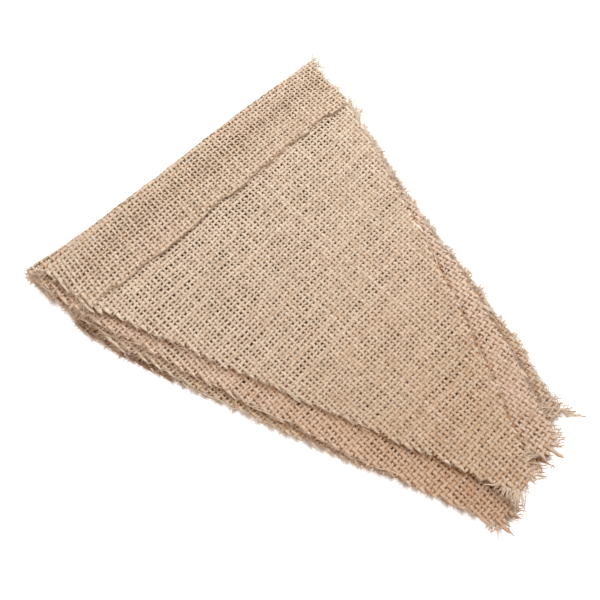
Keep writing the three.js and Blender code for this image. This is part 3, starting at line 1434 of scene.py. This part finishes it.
    def tufts(self) -> Strands:
        """The lay's tufts: each fibre starts inside its raw side and curls out and up.

        A fibre is p + t L (out + slant) + t^2 L curl + t L sin(rate t + phase) / part, with
        its lift and droop on top.

        Returns:
            The tufts' fibres.
        """
        pennant, wisp, draw, tufts = self.pennant, self.wisp, self.draw, self.lay.tufts
        repeats = [tuft.fibres for tuft in tufts]
        side = np.repeat([tuft.side for tuft in tufts], repeats).astype(float)
        count = len(side)
        down = np.repeat([tuft.down for tuft in tufts], repeats)
        down = down + draw.normal(0, wisp.jitter, count)
        longer = np.minimum(draw.gamma(wisp.evenness, 1 / wisp.evenness, count), wisp.longest)
        reach = np.repeat([tuft.reach for tuft in tufts], repeats) * longer
        down = np.maximum(down, wisp.topmost)[:, None]
        side, reach = side[:, None], reach[:, None]
        t = np.linspace(0, 1, wisp.rings)[None, :]
        edge = pennant.half_width(side, down) + pennant.wander(side, down) - wisp.inside
        slant = np.repeat([tuft.slant for tuft in tufts], repeats)[:, None]
        slant = slant + draw.normal(0, wisp.slant, side.shape)
        slant = np.clip(slant, -wisp.most_slant, wisp.most_slant)
        curl = draw.normal(0, wisp.curl, side.shape)
        curl = np.clip(curl, -wisp.most_curl, wisp.most_curl)
        phase = draw.uniform(0, 2 * np.pi, side.shape)
        wave = t * np.sin(wisp.wave_rate * t + phase) / wisp.wave_part
        out = edge + (reach + wisp.inside) * t
        x, y = pennant.place(side * out, down + reach * (slant * t + curl * t * t + wave))
        start = pennant.surface(side * edge, down)[..., 2]
        rise = wisp.lift * draw.random(side.shape) * t - wisp.droop * t * t
        z = np.maximum(start + reach * rise, wisp.lowest)
        thick = np.repeat([tuft.size for tuft in tufts], repeats)[:, None]
        size = thick * draw.uniform(*wisp.size, side.shape) * (1 - wisp.thinning * t**3)
        tone = np.repeat(draw.uniform(*wisp.tone, count) + self.lay.shade, wisp.rings)
        return self._fine(np.stack([x, y, z], axis=-1), size, tone)

    def strays(self) -> Strands:
        """Loose threads that lie along the raw sides, some way in or out, and rise a little.

        A thread runs a length down its side at an inset of two sines, on top of the cloth.

        Returns:
            The threads.
        """
        pennant, thread, draw, count = self.pennant, self.thread, self.draw, self.lay.strays
        side = np.where(draw.random(count) < thread.left_share, -1.0, 1.0)[:, None]
        length = draw.uniform(*thread.length, (count, 1))
        room = self.lay.length - length - thread.from_point
        t = np.linspace(0, 1, thread.rings)[None, :]
        down = draw.uniform(0, 1, (count, 1)) * room + t * length
        phase = draw.uniform(0, 2 * np.pi, (2, count, 1))
        inset = draw.uniform(*thread.inset, (count, 1))
        for (height, rate), start in zip((thread.long_wave, thread.short_wave), phase):
            inset = inset + height * np.sin(rate * t + start)
        across = side * (pennant.half_width(side, down) + pennant.wander(side, down) - inset)
        centre = pennant.surface(across, down)
        arch = thread.arch * draw.random((count, 1)) * np.sin(np.pi * t)
        centre[..., 2] += thread.above + arch
        size = draw.uniform(*thread.size, (count, 1)) * (1 - thread.thinning * (2 * t - 1) ** 4)
        tone = np.repeat(draw.uniform(*thread.tone, count) + self.lay.shade, thread.rings)
        return self._fine(centre, size, tone)


def make_pieces(
    pennant: Pennant, finishes: dict[str, bpy.types.Material]
) -> list[bpy.types.Object]:
    """Makes a pennant's cloth and fringe.

    Args:
        pennant: the pennant.
        finishes: the materials by name.

    Returns:
        Its pieces, riding and slotted.
    """
    lay, cut = pennant.lay, pennant.cut
    # The core's finish is painted dark, as shade between the layers
    thread, plain = finishes[lay.slot], finishes["hidden"]
    weft = Weaving(pennant, Grain.WEFT).strands()
    warp = Weaving(pennant, Grain.WARP).strands()
    weft_parts = [weft.skin(lay.sides)]
    core = pennant.core()
    if core is not None:
        weft_parts.append(core)
    fringe = Fringe(pennant)
    fine = [fringe.frays(weft), fringe.frays(warp), fringe.hairs(warp), fringe.hairs(weft)]
    fine.append(fringe.strays())
    if lay.tufts:
        fine.append(fringe.tufts())
    fibres = Skin.joined([strands.skin(fringe.sides) for strands in fine])
    pieces = [
        Skin.joined(weft_parts).to_object(f"{lay.name}_weft", [thread, plain]),
        warp.skin(lay.sides).to_object(f"{lay.name}_warp", [thread]),
        fibres.to_object(f"{lay.name}_frays", [thread]),
    ]
    for piece in pieces:
        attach(piece, "root")
    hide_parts(lay.name)
    pennant.flat_area()
    return pieces


class Sock:
    """A shader socket that adds a Math node when it is used in an expression."""

    def __init__(self, graph: "Graph", socket: bpy.types.NodeSocket) -> None:
        """Wraps a socket of a graph."""
        self.graph = graph
        self.socket = socket

    def _math(self, operation: str, first: Any, second: Any) -> "Sock":
        """One Math node on two values or sockets."""
        return self.graph.node("ShaderNodeMath", {"operation": operation}, {0: first, 1: second})

    def __add__(self, other: Any) -> "Sock":
        """self + other."""
        return self._math("ADD", self, other)

    def __radd__(self, other: Any) -> "Sock":
        """other + self."""
        return self._math("ADD", other, self)

    def __sub__(self, other: Any) -> "Sock":
        """self - other."""
        return self._math("SUBTRACT", self, other)

    def __rsub__(self, other: Any) -> "Sock":
        """other - self."""
        return self._math("SUBTRACT", other, self)

    def __mul__(self, other: Any) -> "Sock":
        """self * other."""
        return self._math("MULTIPLY", self, other)

    def __rmul__(self, other: Any) -> "Sock":
        """other * self."""
        return self._math("MULTIPLY", other, self)

    def clamped(self) -> "Sock":
        """The value kept between 0 and 1."""
        return self.graph.node("ShaderNodeClamp", {}, {"Value": self})


class Graph:
    """A material's node tree, with one method that adds any node."""

    def __init__(self, name: str) -> None:
        """Starts an empty material with its output.

        Args:
            name: the material's name.
        """
        self.material = bpy.data.materials.new(name)
        self.material.use_nodes = True
        self.tree = self.material.node_tree
        self.tree.nodes.clear()

    def raw(self, kind: str, settings: dict[str, Any], sockets: dict[Any, Any]) -> bpy.types.Node:
        """Adds a node.

        Args:
            kind: the node's type.
            settings: properties, set before its sockets.
            sockets: values or links by socket name or number.

        Returns:
            The node.
        """
        node = self.tree.nodes.new(kind)
        for name, value in settings.items():
            setattr(node, name, value)
        for key, value in sockets.items():
            if isinstance(value, Sock):
                self.tree.links.new(value.socket, node.inputs[key])
            else:
                node.inputs[key].default_value = value
        return node

    def node(
        self, kind: str, settings: dict[str, Any], sockets: dict[Any, Any], out: Any = 0
    ) -> Sock:
        """Adds a node and returns one of its outputs."""
        return Sock(self, self.raw(kind, settings, sockets).outputs[out])

    def blend(self, factor: Any, first: Any, second: Any) -> Sock:
        """Mixes two colours by a factor."""
        settings = {"data_type": "RGBA", "blend_type": "MIX"}
        return self.node("ShaderNodeMix", settings, {0: factor, 6: first, 7: second}, out=2)

    def noise(self, vector: Any, scale: float) -> Sock:
        """Noise between 0 and 1 on a vector."""
        sockets = {"Vector": vector, "Scale": scale, "Detail": 2.0}
        return self.node("ShaderNodeTexNoise", {}, sockets)

    def attribute(self, name: str, out: str) -> Sock:
        """One output of a mesh attribute."""
        return self.node("ShaderNodeAttribute", {"attribute_name": name}, {}, out=out)

    def thread(self) -> tuple[Sock, Sock]:
        """The first two parts of the mesh attribute thread.

        Returns:
            How far along, and how far across.
        """
        vector = self.attribute("thread", "Vector")
        parts = self.raw("ShaderNodeSeparateXYZ", {}, {"Vector": vector})
        return Sock(self, parts.outputs[0]), Sock(self, parts.outputs[1])

    def finish(self, look: dict[str, Any]) -> bpy.types.Material:
        """Joins a Principled shader with the given look to the output.

        Args:
            look: the shader's values or links by socket name.

        Returns:
            The finished material.
        """
        shader = self.raw("ShaderNodeBsdfPrincipled", {}, look)
        output = self.raw("ShaderNodeOutputMaterial", {}, {})
        self.tree.links.new(shader.outputs[0], output.inputs[0])
        return self.material


@dataclass(frozen=True)
class JuteYarn:
    """Undyed jute yarn: pale fibres over brown, uneven from yarn to yarn.

    How pale a place is: its tone's share, plus base, streaks along the fibres, blotches and flecks, less
    rounding by its distance from the yarn's middle, a painted shade that darkens the yarns' flanks and the
    gaps between them. Streaks are stretched along the yarn and twist round it. Patches of the cloth are
    rosier, by warmth at most.
    """

    name: str
    pale: Colour
    deep: Colour
    rosy: Colour
    tone: float = 0.8
    base: float = 0.19
    streak: float = 0.38
    blotch: float = 0.16
    fleck: float = 0.75
    painted_flank_shade: float = 0.34
    stretch: float = 0.8
    twist: float = 0.45
    fibres: float = 7.0
    yarn_step: float = 40.0
    patch_scale: float = 28.0
    blotch_scale: float = 210.0
    fleck_scale: float = 1900.0
    patch_from: float = 0.42
    patch_gain: float = 2.2
    warmth: float = 0.25
    rosy_share: float = 0.6
    bump: float = 0.5
    bump_height: float = 0.00018
    roughness: float = 0.94
    sheen: float = 0.03
    sheen_roughness: float = 0.5
    specular: float = 0.1

    def build(self) -> bpy.types.Material:
        """Colour runs from deep to pale by each yarn's tone, painted shade and highlights included, with
        fibre streaks and patches.

        Returns:
            The finished material.
        """
        graph = Graph(self.name)
        tone = graph.attribute("tone", "Fac")
        place = graph.node("ShaderNodeTexCoord", {}, {}, out="Object")
        along, across = graph.thread()
        skewed = graph.node(
            "ShaderNodeCombineXYZ",
            {},
            {
                "X": along * self.stretch,
                "Y": (across + along * self.twist) * self.fibres,
                "Z": tone * self.yarn_step,
            },
        )
        streak = graph.noise(skewed, 1.0)
        patch = graph.noise(place, self.patch_scale)
        blotch = graph.noise(place, self.blotch_scale)
        fleck = graph.noise(place, self.fleck_scale)
        uneven = (streak - 0.5) * self.streak + (blotch - 0.5) * self.blotch
        uneven = uneven + (fleck - 0.5) * self.fleck
        # Painted shade: darker towards each yarn's flanks
        shade = tone * self.tone + uneven + self.base - across * across * self.painted_flank_shade
        jute = graph.blend(shade.clamped(), self.deep, self.pale)
        warm = ((patch - self.patch_from) * self.patch_gain).clamped() * self.warmth
        colour = graph.blend(warm, jute, graph.blend(self.rosy_share, jute, self.rosy))
        bump = graph.node(
            "ShaderNodeBump",
            {},
            {"Strength": self.bump, "Distance": self.bump_height, "Height": streak},
            out="Normal",
        )
        return graph.finish(
            {
                "Base Color": colour,
                "Roughness": self.roughness,
                "Sheen Weight": self.sheen,
                "Sheen Roughness": self.sheen_roughness,
                "Specular IOR Level": self.specular,
                "Normal": bump,
            }
        )


@dataclass(frozen=True)
class ShadedHiddenCloth:
    """Burlap between two other layers, where only specks of it show through the weave, painted dark brown as
    the shade between the layers.
    """

    name: str = "burlap_between_painted_shade"
    # Painted shade: the yarn and its gaps are painted far darker than the jute above
    yarn: Colour = (0.20, 0.10, 0.045, 1)
    gap: Colour = (0.10, 0.043, 0.012, 1)
    solid: float = 0.9
    roughness: float = 0.95

    def build(self) -> bpy.types.Material:
        """A check of gaps at the weave's pitch, from two sines of the flat coordinates, with the gaps
        painted darker still as shade.

        Returns:
            The finished material.
        """
        cloth = Cloth()
        graph = Graph(self.name)
        waves = []
        for flat, yarn in zip(graph.thread(), (cloth.warp, cloth.weft)):
            turn = flat * (2 * math.pi / yarn.pitch)
            waves.append(graph.node("ShaderNodeMath", {"operation": "COSINE"}, {0: turn}))
        solid = (waves[0] * 0.5 + waves[1] * 0.5 + self.solid).clamped()
        colour = graph.blend(solid, self.gap, self.yarn)
        return graph.finish({"Base Color": colour, "Roughness": self.roughness})


@dataclass(frozen=True)
class FloorPaint:
    """A plain pale floor with a faint mottle."""

    name: str = "floor_white"
    colour: Colour = (0.8, 0.8, 0.8, 1)
    mottled: Colour = (0.85, 0.85, 0.85, 1)
    mottle: float = 0.02
    mottle_scale: float = 3.0
    roughness: float = 0.9
    dark: Colour = (0, 0, 0, 1)
    lit: Colour = (1, 1, 1, 1)
    glow: float = 0.85

    def build(self) -> bpy.types.Material:
        """A matte white that glows, as a lit table does, but not where something lies on it.

        Returns:
            The finished material.
        """
        graph = Graph(self.name)
        place = graph.node("ShaderNodeTexCoord", {}, {}, out="Object")
        shown = graph.attribute("open", "Fac")
        mottle = graph.noise(place, self.mottle_scale)
        return graph.finish(
            {
                "Base Color": graph.blend(mottle * self.mottle, self.colour, self.mottled),
                "Roughness": self.roughness,
                "Emission Color": graph.blend(shown, self.dark, self.lit),
                "Emission Strength": self.glow,
            }
        )


JUTES = (
    JuteYarn(
        "burlap_pale",
        pale=(0.82, 0.685, 0.545, 1),
        deep=(0.41, 0.225, 0.105, 1),
        rosy=(0.74, 0.50, 0.40, 1),
    ),
    JuteYarn(
        "burlap_honey",
        pale=(0.775, 0.61, 0.475, 1),
        deep=(0.40, 0.20, 0.09, 1),
        rosy=(0.70, 0.47, 0.37, 1),
    ),
)


@dataclass(frozen=True)
class Lamp:
    """A light at a place in metres. An area light's size is its side, a sun's its angle."""

    name: str
    kind: str
    energy: float
    size: float
    place: Place
    colour: Place = (1.0, 1.0, 1.0)

    def hang(self) -> None:
        """Adds the light, facing the origin."""
        light = bpy.data.lights.new(self.name, self.kind)
        light.energy = self.energy
        light.color = self.colour
        if self.kind == "SUN":
            light.angle = math.radians(self.size)
        else:
            light.size = self.size
        lamp = bpy.data.objects.new(self.name, light)
        lamp.location = self.place
        lamp.rotation_euler = (-Vector(self.place)).to_track_quat("-Z", "Y").to_euler()
        bpy.context.scene.collection.objects.link(lamp)


# A soft key light, a large cool panel, and a low warm one on the left
LAMPS = (
    Lamp("Key", "SUN", 1.36, 14.0, (0.68, 0.10, 1.07)),
    Lamp("Fill", "AREA", 3.4, 0.5, (0.36, 0.30, 0.40), (0.80, 0.91, 1.0)),
    Lamp("Low", "AREA", 1.15, 0.4, (-0.52, -0.28, 0.20), (1.0, 0.84, 0.70)),
)


@dataclass
class Studio:
    """Floor, sky and the camera at the photograph's angle. Lengths in mm.

    The camera looks at target from eye_offset beside it. The floor has cells of near_step
    within near_half of the origin.
    """

    shift: Array
    target: Place = (-13.9, -102.9, 8.0)
    eye_offset: Place = (-92.7, -95.7, 340.1)
    focal: float = 42.0
    sensor: float = 36.0
    nearest: float = 10.0
    floor_half: float = 3000.0
    near_half: float = 150.0
    near_step: float = 2.5
    sky: float = 0.48

    def floor(self, finish: bpy.types.Material, stack: Sequence[Pennant]) -> bpy.types.Object:
        """A square floor at the height that the stack rests on, finely divided under it.

        Its attribute open is 1 where nothing lies on it and 0 under the stack.

        Args:
            finish: its material.
            stack: the pennants that lie on it.

        Returns:
            The floor.
        """
        half, near, step = self.floor_half, self.near_half, self.near_step
        line = np.concatenate([[-half], np.arange(-near, near + step, step), [half]])
        x, y = np.meshgrid(line, line, indexing="ij")
        taken = np.zeros(x.shape, bool)
        for pennant in stack:
            taken |= pennant.covers(x, y, 0.0)
        index = np.arange(x.size).reshape(x.shape)
        cells = [index[:-1, :-1], index[1:, :-1], index[1:, 1:], index[:-1, 1:]]
        faces = np.stack(cells, axis=-1)
        mesh = bpy.data.meshes.new("Floor")
        points = np.stack([x, y, np.zeros_like(x)], axis=-1).reshape(-1, 3) * MM
        mesh.from_pydata(points.tolist(), [], faces.reshape(-1, 4).tolist())
        shown = np.where(taken, 0.0, 1.0).astype(np.float32).ravel()
        mesh.attributes.new("open", "FLOAT", "POINT").data.foreach_set("value", shown)
        mesh.materials.append(finish)
        floor = bpy.data.objects.new("Floor", mesh)
        bpy.context.scene.collection.objects.link(floor)
        return floor

    def camera(self) -> None:
        """The camera, from the point that it looks at and its offset from it."""
        target = (np.array(self.target) + [self.shift[0], self.shift[1], 0]) * MM
        eye = target + np.array(self.eye_offset) * MM
        data = bpy.data.cameras.new("Camera")
        data.sensor_width = self.sensor
        data.sensor_height = self.sensor
        data.lens = self.focal
        data.clip_start = self.nearest * MM
        camera = bpy.data.objects.new("Camera", data)
        camera.location = eye
        camera.rotation_euler = Vector(target - eye).to_track_quat("-Z", "Y").to_euler()
        bpy.context.scene.collection.objects.link(camera)
        bpy.context.scene.camera = camera

    def light(self) -> None:
        """A pale even sky, and the lamps."""
        world = bpy.data.worlds.new("Studio")
        world.use_nodes = True
        background = world.node_tree.nodes["Background"]
        background.inputs[0].default_value = (1, 1, 1, 1)
        background.inputs[1].default_value = self.sky
        bpy.context.scene.world = world
        for lamp in LAMPS:
            lamp.hang()
        bpy.context.scene.view_settings.view_transform = "Standard"


def stack_shift() -> Array:
    """Where the middle of the top pennant's fold lies, from its box's left end and back.

    Returns:
        x and y in mm.
    """
    cut = Cut()
    low, high = (np.array(corner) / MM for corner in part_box("pennant_1"))
    return np.array([low[0] + cut.half_fold - cut.corner_in, high[1]])


def main() -> None:
    """Builds the studio, then every pennant from the top one down."""
    logging.basicConfig(level=logging.INFO, format="%(name)s: %(message)s")
    shift = stack_shift()
    studio = Studio(shift)
    studio.camera()
    studio.light()
    finishes = {jute.name: jute.build() for jute in JUTES}
    finishes["hidden"] = ShadedHiddenCloth().build()
    placed: list[Pennant] = []
    for lay in LAYS:
        pennant = Pennant(lay, list(placed), shift)
        for piece in make_pieces(pennant, finishes):
            faces = sum(len(p.vertices) - 2 for p in piece.data.polygons)
            LOG.info("%s: %d triangles", piece.name, faces)
        placed.append(pennant)
    studio.floor(FloorPaint().build(), placed)


if __name__ == "__main__":
    main()
